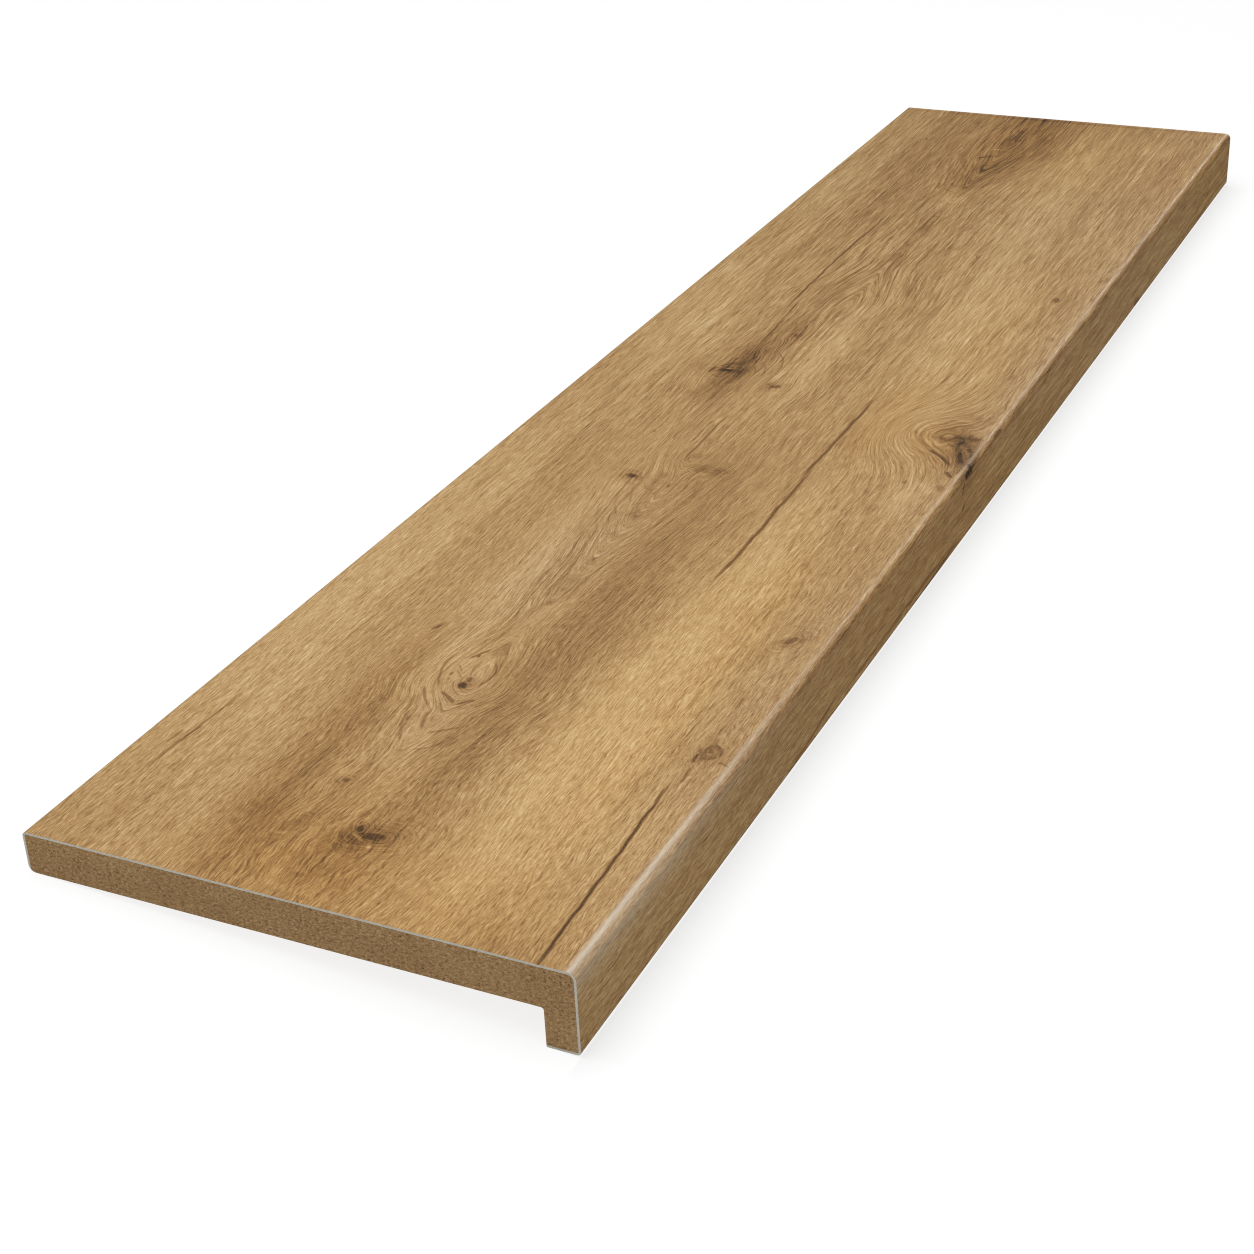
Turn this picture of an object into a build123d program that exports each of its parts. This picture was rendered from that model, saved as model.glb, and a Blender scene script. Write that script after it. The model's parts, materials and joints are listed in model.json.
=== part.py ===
"""Laminate stair tread: an L-section MDF core board with a decor laminate wrapped round its back, top and nose.

X runs along the step, -Y is the front of the nose and +Z is up. The origin is under the middle of the
tread, level with the bottom of the lip.
"""

import os

from build123d import *

# Overall sizes, in millimetres
length = 1300.0  # along the step, between the two sawn ends
depth = 300.0  # front of the nose to the back edge
nose_height = 45.0  # top face to the bottom of the lip

# Core board and its lip
core_thickness = 22.0
lip_core_width = 16.0
inner_corner_radius = 1.5  # left by the cutter between the underside and the lip

# Radii milled on the core, which the laminate is bent round
nose_core_radius = 3.3
toe_core_radius = 0.8
back_core_radius = 1.3

# Wrapped laminate and the cuts that trim its two free edges
laminate_thickness = 1.2
back_round_over = 4.0  # takes off the lower back arris, through the laminate and into the core
lip_trim_radius = 0.6  # eases the laminate's free edge under the lip

# Faces of the finished section
front = -depth / 2
back = depth / 2
top = nose_height
underside = top - laminate_thickness - core_thickness
lip_back = front + laminate_thickness + lip_core_width


def rounded_section(corners):
    """Face in the Y-Z plane from (y, z, radius) corners in order, with each corner rounded by its radius."""
    outline = Polyline(*[(y, z) for y, z, _ in corners], close=True)
    face = make_face(outline)
    for y, z, radius in corners:
        if radius > 0:
            vertex = face.vertices().sort_by_distance(Vector(y, z))[0]
            face = fillet(vertex, radius)
    return Plane.YZ * face


def along_step(face):
    """The section run out along the step, equally to both sides of the middle."""
    return extrude(face, amount=length / 2, dir=(1, 0, 0), both=True)


def tread_section():
    """Outside of the finished tread, laminate included."""
    return rounded_section(
        [
            (front, 0, toe_core_radius + laminate_thickness),
            (lip_back, 0, lip_trim_radius),
            (lip_back, underside, inner_corner_radius),
            (back, underside, back_round_over),
            (back, top, back_core_radius + laminate_thickness),
            (front, top, nose_core_radius + laminate_thickness),
        ]
    )


def core_section():
    """The board and its lip as milled, trimmed by the round-over at the lower back arris."""
    board = rounded_section(
        [
            (front + laminate_thickness, laminate_thickness, toe_core_radius),
            (lip_back, laminate_thickness, 0),
            (lip_back, underside, inner_corner_radius),
            (back - laminate_thickness, underside, 0),
            (back - laminate_thickness, top - laminate_thickness, back_core_radius),
            (front + laminate_thickness, top - laminate_thickness, nose_core_radius),
        ]
    )
    return board & tread_section()


mdf_core = along_step(core_section())
laminate_skin = along_step(tread_section() - core_section())

os.makedirs("parts", exist_ok=True)
for name, piece in {"mdf_core": mdf_core, "laminate_skin": laminate_skin}.items():
    export_step(piece, f"parts/{name}.step")
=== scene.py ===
"""Dresses a stair tread: a fibreboard core in one wrapped sheet of oak-look decor laminate.

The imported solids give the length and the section. Both pieces are drawn again on that section with finer
arcs, so that one oak figure runs unbroken from the back edge, over the top and round the nose, to the toe
of the lip. Places on the decor are in millimetres on the sheet as it lay before it was wrapped: along runs
with the step, with zero at the middle of its length, and across runs from the front to the back, with zero
at the middle of the walking face.
"""

from __future__ import annotations

import json
import logging
import math
from dataclasses import dataclass, replace
from enum import Enum
from functools import reduce
from typing import Iterable, Sequence, Union

import bmesh
import bpy
from mathutils import Matrix, Vector

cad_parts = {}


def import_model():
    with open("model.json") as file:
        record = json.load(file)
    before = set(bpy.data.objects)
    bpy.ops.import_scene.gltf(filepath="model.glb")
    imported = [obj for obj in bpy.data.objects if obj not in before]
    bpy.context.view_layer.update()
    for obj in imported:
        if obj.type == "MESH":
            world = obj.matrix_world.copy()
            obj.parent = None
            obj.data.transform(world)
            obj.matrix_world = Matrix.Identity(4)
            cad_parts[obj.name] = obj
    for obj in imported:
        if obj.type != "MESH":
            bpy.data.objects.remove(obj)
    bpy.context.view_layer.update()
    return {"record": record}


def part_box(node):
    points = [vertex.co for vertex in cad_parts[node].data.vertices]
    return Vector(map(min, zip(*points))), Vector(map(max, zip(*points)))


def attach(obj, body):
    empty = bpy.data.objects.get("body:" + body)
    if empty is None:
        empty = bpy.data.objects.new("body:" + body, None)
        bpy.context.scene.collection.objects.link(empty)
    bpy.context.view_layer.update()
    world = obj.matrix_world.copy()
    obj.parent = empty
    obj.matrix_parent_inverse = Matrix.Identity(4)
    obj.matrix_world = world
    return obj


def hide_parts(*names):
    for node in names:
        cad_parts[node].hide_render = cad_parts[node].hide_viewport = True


LOG = logging.getLogger("stair_tread")
Number = Union["Signal", float]
Colour = tuple[float, float, float]
MM = 0.001
DECOR_MAP = "decor_sheet"
BAKE_MAP = "OFBake"
# how many of its own half sizes away a mark, a knot's parting of the grain and its halo can still be seen
MARK_REACH = 2.2
PARTING_REACH = 3.0
HALO_REACH = 6.0


class Surface(Enum):
    """What a stretch of the laminate's section is: trimmed through, printed or glued down."""

    CUT = 0
    DECOR = 1
    GLUE = 2


class Signal:
    """A number that runs through a shader graph. Arithmetic on it adds the Math nodes that work it out."""

    def __init__(self, graph: Graph, socket: bpy.types.NodeSocket) -> None:
        """Keeps the graph and the output socket that gives the number."""
        self.graph = graph
        self.socket = socket

    def __add__(self, other: Number) -> Signal:
        """The sum of the two."""
        return self.graph.math("ADD", self, other)

    def __radd__(self, other: float) -> Signal:
        """The sum of a plain number and this one."""
        return self.graph.math("ADD", other, self)

    def __sub__(self, other: Number) -> Signal:
        """This less the other."""
        return self.graph.math("SUBTRACT", self, other)

    def __rsub__(self, other: float) -> Signal:
        """A plain number less this one."""
        return self.graph.math("SUBTRACT", other, self)

    def __mul__(self, other: Number) -> Signal:
        """The product of the two."""
        return self.graph.math("MULTIPLY", self, other)

    def __rmul__(self, other: float) -> Signal:
        """A plain number times this one."""
        return self.graph.math("MULTIPLY", other, self)

    def __truediv__(self, other: Number) -> Signal:
        """This divided by the other."""
        return self.graph.math("DIVIDE", self, other)


class Graph:
    """Adds nodes to one shader tree and joins them up."""

    def __init__(self, tree: bpy.types.NodeTree) -> None:
        """Keeps the tree that the nodes go into."""
        self.tree = tree

    def node(self, kind: str, **settings: object) -> bpy.types.Node:
        """Adds one node.

        Args:
            kind: Blender's name for the type of node.
            settings: the node's own properties and their values.

        Returns:
            The new node.
        """
        made = self.tree.nodes.new(kind)
        for name, value in settings.items():
            setattr(made, name, value)
        return made

    def feed(self, socket: bpy.types.NodeSocket, value: Union[Number, Sequence[float]]) -> None:
        """Links a signal to a socket, or sets a plain value on it.

        Args:
            socket: the input socket.
            value: the signal or the plain value.
        """
        if isinstance(value, Signal):
            self.tree.links.new(value.socket, socket)
        else:
            socket.default_value = value

    def math(self, operation: str, *values: Number, clamp: bool = False) -> Signal:
        """Adds a Math node.

        Args:
            operation: Blender's name for the operation.
            values: its operands.
            clamp: whether the result is kept between 0 and 1.

        Returns:
            The result.
        """
        made = self.node("ShaderNodeMath", operation=operation, use_clamp=clamp)
        for socket, value in zip(made.inputs, values):
            self.feed(socket, value)
        return Signal(self, made.outputs[0])

    def total(self, parts: Iterable[Number]) -> Number:
        """Adds up signals, none of which makes 0."""
        return reduce(lambda first, second: first + second, parts, 0.0)

    def most(self, parts: Iterable[Number]) -> Signal:
        """The largest of several signals, and at least 0."""
        return reduce(lambda first, second: self.math("MAXIMUM", first, second), parts, 0.0)

    def least(self, parts: Iterable[Number], limit: float) -> Signal:
        """The smallest of several signals, and at most a limit."""
        return reduce(lambda first, second: self.math("MINIMUM", first, second), parts, limit)

    def bell(self, *offsets: Number) -> Signal:
        """A bell curve that is 1 where every offset is 0 and fades out as they pass 1."""
        return self.math("EXPONENT", self.total(offset * offset for offset in offsets) * -1.0)

    def fade(self, value: Signal, start: Number, end: Number) -> Signal:
        """A smooth step.

        Args:
            value: the signal that is looked at.
            start: where the step is still 0.
            end: where the step has reached 1; it may lie below start.

        Returns:
            The step, between 0 and 1.
        """
        made = self.node("ShaderNodeMapRange", interpolation_type="SMOOTHSTEP", clamp=True)
        for socket, number in zip(made.inputs, (value, start, end, 0.0, 1.0)):
            self.feed(socket, number)
        return Signal(self, made.outputs[0])

    def point(self, x: Number, y: Number, z: Number = 0.0) -> Signal:
        """Joins three numbers into a vector."""
        made = self.node("ShaderNodeCombineXYZ")
        for socket, value in zip(made.inputs, (x, y, z)):
            self.feed(socket, value)
        return Signal(self, made.outputs[0])

    def parts(self, vector: Signal) -> list[Signal]:
        """Splits a vector into its three numbers."""
        made = self.node("ShaderNodeSeparateXYZ")
        self.feed(made.inputs[0], vector)
        return [Signal(self, socket) for socket in made.outputs]

    def measure(self, operation: str, *vectors: Signal) -> Signal:
        """The number that a Vector Math node gives, such as LENGTH or DOT_PRODUCT."""
        made = self.node("ShaderNodeVectorMath", operation=operation)
        for socket, vector in zip(made.inputs, vectors):
            self.feed(socket, vector)
        return Signal(self, made.outputs["Value"])

    def noise(self, place: Signal, detail: float = 1.0, roughness: float = 0.5) -> Signal:
        """Smooth noise with cells of about one unit.

        Args:
            place: the vector that it is read at.
            detail: how many finer layers are added.
            roughness: how strong the finer layers are.

        Returns:
            The noise, about zero, mostly within a quarter either way.
        """
        made = self.node("ShaderNodeTexNoise", noise_dimensions="3D", normalize=True)
        self.feed(made.inputs["Vector"], place)
        self.feed(made.inputs["Scale"], 1.0)
        self.feed(made.inputs["Detail"], detail)
        self.feed(made.inputs["Roughness"], roughness)
        return Signal(self, made.outputs[0]) - 0.5

    def cells(self, first: Signal, second: Signal, sizes: tuple[float, float], layer: Number,
              detail: float = 0.0, roughness: float = 0.5) -> Signal:
        """Smooth noise over two distances.

        Args:
            first: the first distance.
            second: the second distance.
            sizes: how large a cell is along each of them.
            layer: where the noise is read along its third axis.
            detail: how many finer layers are added.
            roughness: how strong the finer layers are.

        Returns:
            The noise, about zero.
        """
        return self.noise(self.point(first / sizes[0], second / sizes[1], layer), detail, roughness)

    def object_place(self) -> list[Signal]:
        """The place in the object's own coordinates, in metres."""
        return self.parts(Signal(self, self.node("ShaderNodeTexCoord").outputs["Object"]))

    def emboss(self, shader: bpy.types.Node, height: Signal, depth: float, strength: float) -> None:
        """Gives a shader a bumpy face.

        Args:
            shader: the shader.
            height: the height, about zero.
            depth: how much one unit of height is, in metres.
            strength: how much of it shows, from 0 to 1.
        """
        bump = self.node("ShaderNodeBump")
        self.feed(bump.inputs["Strength"], strength)
        self.feed(bump.inputs["Distance"], depth)
        self.feed(bump.inputs["Height"], height)
        self.feed(shader.inputs["Normal"], Signal(self, bump.outputs[0]))

    def light_path(self, *kinds: str) -> list[Signal]:
        """Which kind of ray is being followed: 1 for each of the kinds that it is, as the node names them."""
        path = self.node("ShaderNodeLightPath")
        return [Signal(self, path.outputs[kind]) for kind in kinds]

    def mix(self, share: Number, first: Union[Signal, Sequence[float]],
            second: Union[Signal, Sequence[float]], blend: str = "MIX") -> Signal:
        """Mixes two colours.

        Args:
            share: how much of the second colour shows, from 0 to 1.
            first: the first colour.
            second: the second colour.
            blend: Blender's name for the way of mixing.

        Returns:
            The mixed colour.
        """
        made = self.node("ShaderNodeMix", data_type="RGBA", blend_type=blend, clamp_factor=True)
        sockets = [socket for socket in made.inputs if socket.enabled]
        for socket, value in zip(sockets, (share, first, second)):
            self.feed(socket, value if isinstance(value, (Signal, float)) else (*value, 1.0))
        return Signal(self, next(socket for socket in made.outputs if socket.enabled))

    def ramp(self, value: Signal, stops: Sequence[tuple[float, Colour]]) -> Signal:
        """Turns a number into a colour.

        Args:
            value: the number, from 0 to 1.
            stops: positions in rising order, each with its colour.

        Returns:
            The colour.
        """
        made = self.node("ShaderNodeValToRGB")
        self.feed(made.inputs[0], value)
        elements = made.color_ramp.elements
        while len(elements) < len(stops):
            elements.new(1.0)
        for element, (position, colour) in zip(elements, stops):
            element.position = position
            element.color = (*colour, 1.0)
        return Signal(self, made.outputs[0])


class Socket(Enum):
    """What a node group's input or output carries."""

    NUMBER = "NodeSocketFloat"
    VECTOR = "NodeSocketVector"


MARK_INPUTS = {"place": Socket.VECTOR, "lengthwise": Socket.VECTOR, "crosswise": Socket.VECTOR}


class NodeGroup:
    """A shader node group with named inputs and outputs."""

    def __init__(self, name: str, inputs: dict[str, Socket], outputs: Sequence[str]) -> None:
        """Makes the empty group.

        Args:
            name: the group's name.
            inputs: the names of its inputs and what they carry.
            outputs: the names of its outputs, which carry numbers.
        """
        self.tree = bpy.data.node_groups.new(name, "ShaderNodeTree")
        for label, kind in inputs.items():
            self.tree.interface.new_socket(label, in_out="INPUT", socket_type=kind.value)
        for label in outputs:
            self.tree.interface.new_socket(label, in_out="OUTPUT", socket_type=Socket.NUMBER.value)
        self.graph = Graph(self.tree)
        self.entry = self.graph.node("NodeGroupInput")
        self.exit = self.graph.node("NodeGroupOutput")

    def read(self, label: str) -> Signal:
        """What one of the group's inputs carries."""
        return Signal(self.graph, self.entry.outputs[label])

    def read_mark(self) -> tuple[Signal, Signal]:
        """Where the place lies in a mark's own frame, lengthwise and crosswise, in half sizes."""
        return tuple(self.graph.measure("DOT_PRODUCT", self.read("place"), self.read(label))
                     for label in ("lengthwise", "crosswise"))

    def give(self, label: str, value: Signal) -> None:
        """Sends a number to one of the group's outputs."""
        self.graph.feed(self.exit.inputs[label], value)

    def place(self, graph: Graph, **values: Union[Number, Sequence[float]]) -> dict[str, Signal]:
        """Puts the group into a graph.

        Args:
            graph: where the group goes.
            values: what its inputs get.

        Returns:
            The group's outputs by name.
        """
        made = graph.node("ShaderNodeGroup", node_tree=self.tree)
        for label, value in values.items():
            graph.feed(made.inputs[label], value)
        return {socket.name: Signal(graph, socket) for socket in made.outputs}


@dataclass(frozen=True)
class Sheet:
    """The decor sheet as a shader graph reads it, in millimetres.

    Attributes:
        graph: where the nodes go.
        along: the place along the sheet.
        across: the place across the sheet.
        place: both as a vector, with 1 for its third number.
    """

    graph: Graph
    along: Signal
    across: Signal
    place: Signal

    @classmethod
    def mapped(cls, graph: Graph) -> Sheet:
        """Reads the place from the piece's own decor map."""
        decor_map = graph.node("ShaderNodeUVMap", uv_map=DECOR_MAP)
        along, across, _ = graph.parts(Signal(graph, decor_map.outputs[0]))
        return cls(graph, along, across, graph.point(along, across, 1.0))

    def cells(self, length: float, width: float, layer: float, detail: float = 0.0,
              roughness: float = 0.5) -> Signal:
        """Noise in cells of a length and a width on the sheet, read like Graph.cells."""
        return self.graph.cells(self.along, self.across, (length, width), layer, detail, roughness)


@dataclass(frozen=True)
class Mark:
    """A mark in the oak figure, in millimetres on the sheet.

    Attributes:
        along: where its middle lies along the sheet.
        across: where its middle lies across the sheet.
        half_length: half its length.
        half_width: half its width.
    """

    along: float
    across: float
    half_length: float
    half_width: float

    def rows(self, half_length: float, half_width: float, turn: float) -> dict[str, Sequence[float]]:
        """Works out the two rows that read a place on the sheet in the mark's own frame.

        Args:
            half_length: the size along that counts as one.
            half_width: the size across that counts as one.
            turn: how far the frame is turned from the grain towards the back, in radians.

        Returns:
            The group inputs lengthwise and crosswise.
        """
        cosine, sine = math.cos(turn), math.sin(turn)
        lengthwise = (cosine, sine, -cosine * self.along - sine * self.across)
        crosswise = (-sine, cosine, sine * self.along - cosine * self.across)
        return {"lengthwise": [part / half_length for part in lengthwise],
                "crosswise": [part / half_width for part in crosswise]}

    def reach(self) -> float:
        """How far along the sheet from its middle it can still be seen."""
        return MARK_REACH * self.half_length

    def touches(self, stretch: tuple[float, float]) -> bool:
        """Whether it can be seen within a stretch of the sheet."""
        start, end = stretch
        return start - self.reach() < self.along < end + self.reach()

    def patch(self, sheet: Sheet) -> Signal:
        """A soft mask over it."""
        return sheet.graph.bell((sheet.along - self.along) / self.half_length,
                                (sheet.across - self.across) / self.half_width)


@dataclass(frozen=True)
class Knot(Mark):
    """A knot, or one dark stroke of a large knot.

    Attributes:
        turn: degrees that its long axis is turned from the grain towards the back.
        dark: how dark it is, from 0 to 1.
        hollow: how much lighter its middle is than its rim.
        stain: how much it browns the wood round it.
        wrap: how far from its middle the fine grain runs round it.
        reach_along: how far along the grain it parts the grain.
        reach_across: how far across the grain it parts the grain.
        spread: how strongly it parts the grain, from 0 to 1.
    """

    turn: float = 0.0
    dark: float = 0.5
    hollow: float = 0.0
    stain: float = 0.0
    wrap: float = 0.1
    reach_along: float = 10.0
    reach_across: float = 10.0
    spread: float = 0.0

    def reach(self) -> float:
        """How far along the sheet from its middle it can still be seen."""
        return max(PARTING_REACH * self.reach_along, HALO_REACH * max(self.half_length, self.half_width))

    def drawn(self) -> dict[str, Union[float, Sequence[float]]]:
        """What the group that draws it gets."""
        return {**self.rows(self.half_length, self.half_width, math.radians(self.turn)), "dark": self.dark,
                "hollow": self.hollow, "stain": self.stain, "girth": self.half_width, "wrap": self.wrap}

    def parted(self) -> dict[str, Union[float, Sequence[float]]]:
        """What the group that parts the grain round it gets."""
        return {**self.rows(self.reach_along, self.reach_across, 0.0),
                "spread": -self.spread * self.reach_across}


@dataclass(frozen=True)
class Swell(Mark):
    """A place where the grain swells out towards the back, over a great knot.

    Attributes:
        lift: how far it is lifted for each millimetre from the middle, close to it.
    """

    lift: float = 0.5

    def lifted(self, sheet: Sheet) -> Signal:
        """How far the grain is lifted."""
        graph = sheet.graph
        above = graph.math("MAXIMUM", (sheet.across - self.across) / self.half_width, 0.0)
        fading = graph.math("EXPONENT", graph.math("POWER", above, 5.0) * -1.0)
        beside = graph.bell((sheet.along - self.along) / self.half_length)
        return beside * above * fading * (self.lift * self.half_width)


@dataclass(frozen=True)
class Crack(Mark):
    """A filled drying crack, a dark vein or a thin brown stroke.

    Attributes:
        dark: how dark it is, from 0 to 1.
        slope: how much it climbs for each millimetre along.
        bow: how far its middle stands off the line through its ends.
    """

    dark: float = 0.8
    slope: float = 0.0
    bow: float = 0.0

    @classmethod
    def between(cls, start: tuple[float, float], end: tuple[float, float], half_width: float, dark: float,
                bow: float = 0.0) -> Crack:
        """Makes one from its ends.

        Args:
            start: one end, along and across the sheet.
            end: the other end.
            half_width: half its width.
            dark: how dark it is, from 0 to 1.
            bow: how far its middle stands off the line through its ends.

        Returns:
            The crack.
        """
        run, climb = end[0] - start[0], end[1] - start[1]
        return cls(start[0] + run / 2.0, start[1] + climb / 2.0, math.hypot(run, climb) / 2.0, half_width,
                   dark, climb / run, bow)

    def drawn(self) -> dict[str, Union[float, Sequence[float]]]:
        """What the group that draws it gets."""
        return {**self.rows(self.half_length, self.half_width, math.atan(self.slope)),
                "bow": self.bow / self.half_width, "dark": self.dark}


@dataclass(frozen=True)
class Cloud(Mark):
    """A soft patch where the wood is lighter or darker, warmer or greyer.

    Attributes:
        tone: how much lighter it is, or darker where negative.
        warmth: how much warmer it is, or greyer where negative.
        slope: how much it climbs for each millimetre along.
    """

    tone: float = 0.0
    warmth: float = 0.0
    slope: float = 0.0

    def drawn(self) -> dict[str, Union[float, Sequence[float]]]:
        """What the group that draws it gets."""
        return {**self.rows(self.half_length, self.half_width, math.atan(self.slope)),
                "tone": self.tone, "warmth": self.warmth}


@dataclass(frozen=True)
class RingShift:
    """A stretch over which the growth rings swing out from the heart of the log, or draw in to it again.

    Attributes:
        start: where they start to, in millimetres along the sheet.
        end: where they have done so.
        above: how far the rings behind the heart draw in, or swing out where negative.
        below: how far the rings before the heart draw in, or swing out where negative.
    """

    start: float
    end: float
    above: float
    below: float


def knot_group() -> NodeGroup:
    """Builds the group that draws one knot.

    Returns:
        The group. It gives core and halo; away, the distance in millimetres; and wrapped, a mask.
    """
    numbers = ("ragged", "dark", "hollow", "stain", "girth", "wrap")
    group = NodeGroup("oak_knot", {**MARK_INPUTS, **dict.fromkeys(numbers, Socket.NUMBER)},
                      ["core", "halo", "away", "wrapped"])
    graph = group.graph
    lengthwise, crosswise = group.read_mark()
    straight = graph.math("SQRT", lengthwise * lengthwise + crosswise * crosswise)
    distance = straight + group.read("ragged")
    lighter = graph.fade(distance, 0.8, 0.35) * group.read("hollow")
    group.give("core", graph.fade(distance, 1.25, 0.45) * (1.0 - lighter) * group.read("dark"))
    group.give("halo", graph.bell(distance / 2.3) * group.read("stain"))
    away = straight * group.read("girth")
    group.give("away", away)
    group.give("wrapped", graph.bell(away / group.read("wrap")))
    return group


def parting_group() -> NodeGroup:
    """Builds the group that parts the grain round one knot.

    Returns:
        The group. It gives push, in millimetres across the sheet.
    """
    group = NodeGroup("oak_parting", {**MARK_INPUTS, "spread": Socket.NUMBER}, ["push"])
    lengthwise, crosswise = group.read_mark()
    group.give("push", group.graph.bell(lengthwise, crosswise) * crosswise * group.read("spread"))
    return group


def crack_group() -> NodeGroup:
    """Builds the group that draws one crack.

    Returns:
        The group. It gives dark.
    """
    group = NodeGroup("oak_crack", {**MARK_INPUTS, "waver": Socket.NUMBER, "bow": Socket.NUMBER,
                                    "dark": Socket.NUMBER}, ["dark"])
    graph = group.graph
    lengthwise, crosswise = group.read_mark()
    full = graph.fade(graph.math("ABSOLUTE", lengthwise), 1.0, 0.55)
    off_path = crosswise - group.read("waver") + group.read("bow") * (lengthwise * lengthwise - 1.0)
    distance = graph.math("ABSOLUTE", off_path) / (0.35 + 0.65 * full)
    group.give("dark", graph.fade(distance, 1.5, 0.3) * full * group.read("dark"))
    return group


def cloud_group() -> NodeGroup:
    """Builds the group that draws one soft patch of tone.

    Returns:
        The group. It gives tone and warmth.
    """
    group = NodeGroup("oak_cloud", {**MARK_INPUTS, "tone": Socket.NUMBER, "warmth": Socket.NUMBER},
                      ["tone", "warmth"])
    graph = group.graph
    lengthwise, crosswise = group.read_mark()
    square = lengthwise * lengthwise + crosswise * crosswise
    patch = graph.math("EXPONENT", graph.math("POWER", square, 1.5) * -1.0)
    group.give("tone", patch * group.read("tone"))
    group.give("warmth", patch * group.read("warmth"))
    return group


def new_material(name: str) -> tuple[bpy.types.Material, Graph, bpy.types.Node]:
    """Starts a node material.

    Args:
        name: the material's name.

    Returns:
        The material, its graph and its Principled shader.
    """
    material = bpy.data.materials.new(name)
    material.use_nodes = True
    graph = Graph(material.node_tree)
    shader = next(node for node in material.node_tree.nodes if node.type == "BSDF_PRINCIPLED")
    return material, graph, shader


class OakMarks:
    """The node groups that draw the oak's marks, built once and shared by every stretch of decor."""

    def __init__(self) -> None:
        """Builds the groups."""
        self.knot = knot_group()
        self.parting = parting_group()
        self.crack = crack_group()
        self.cloud = cloud_group()


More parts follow.
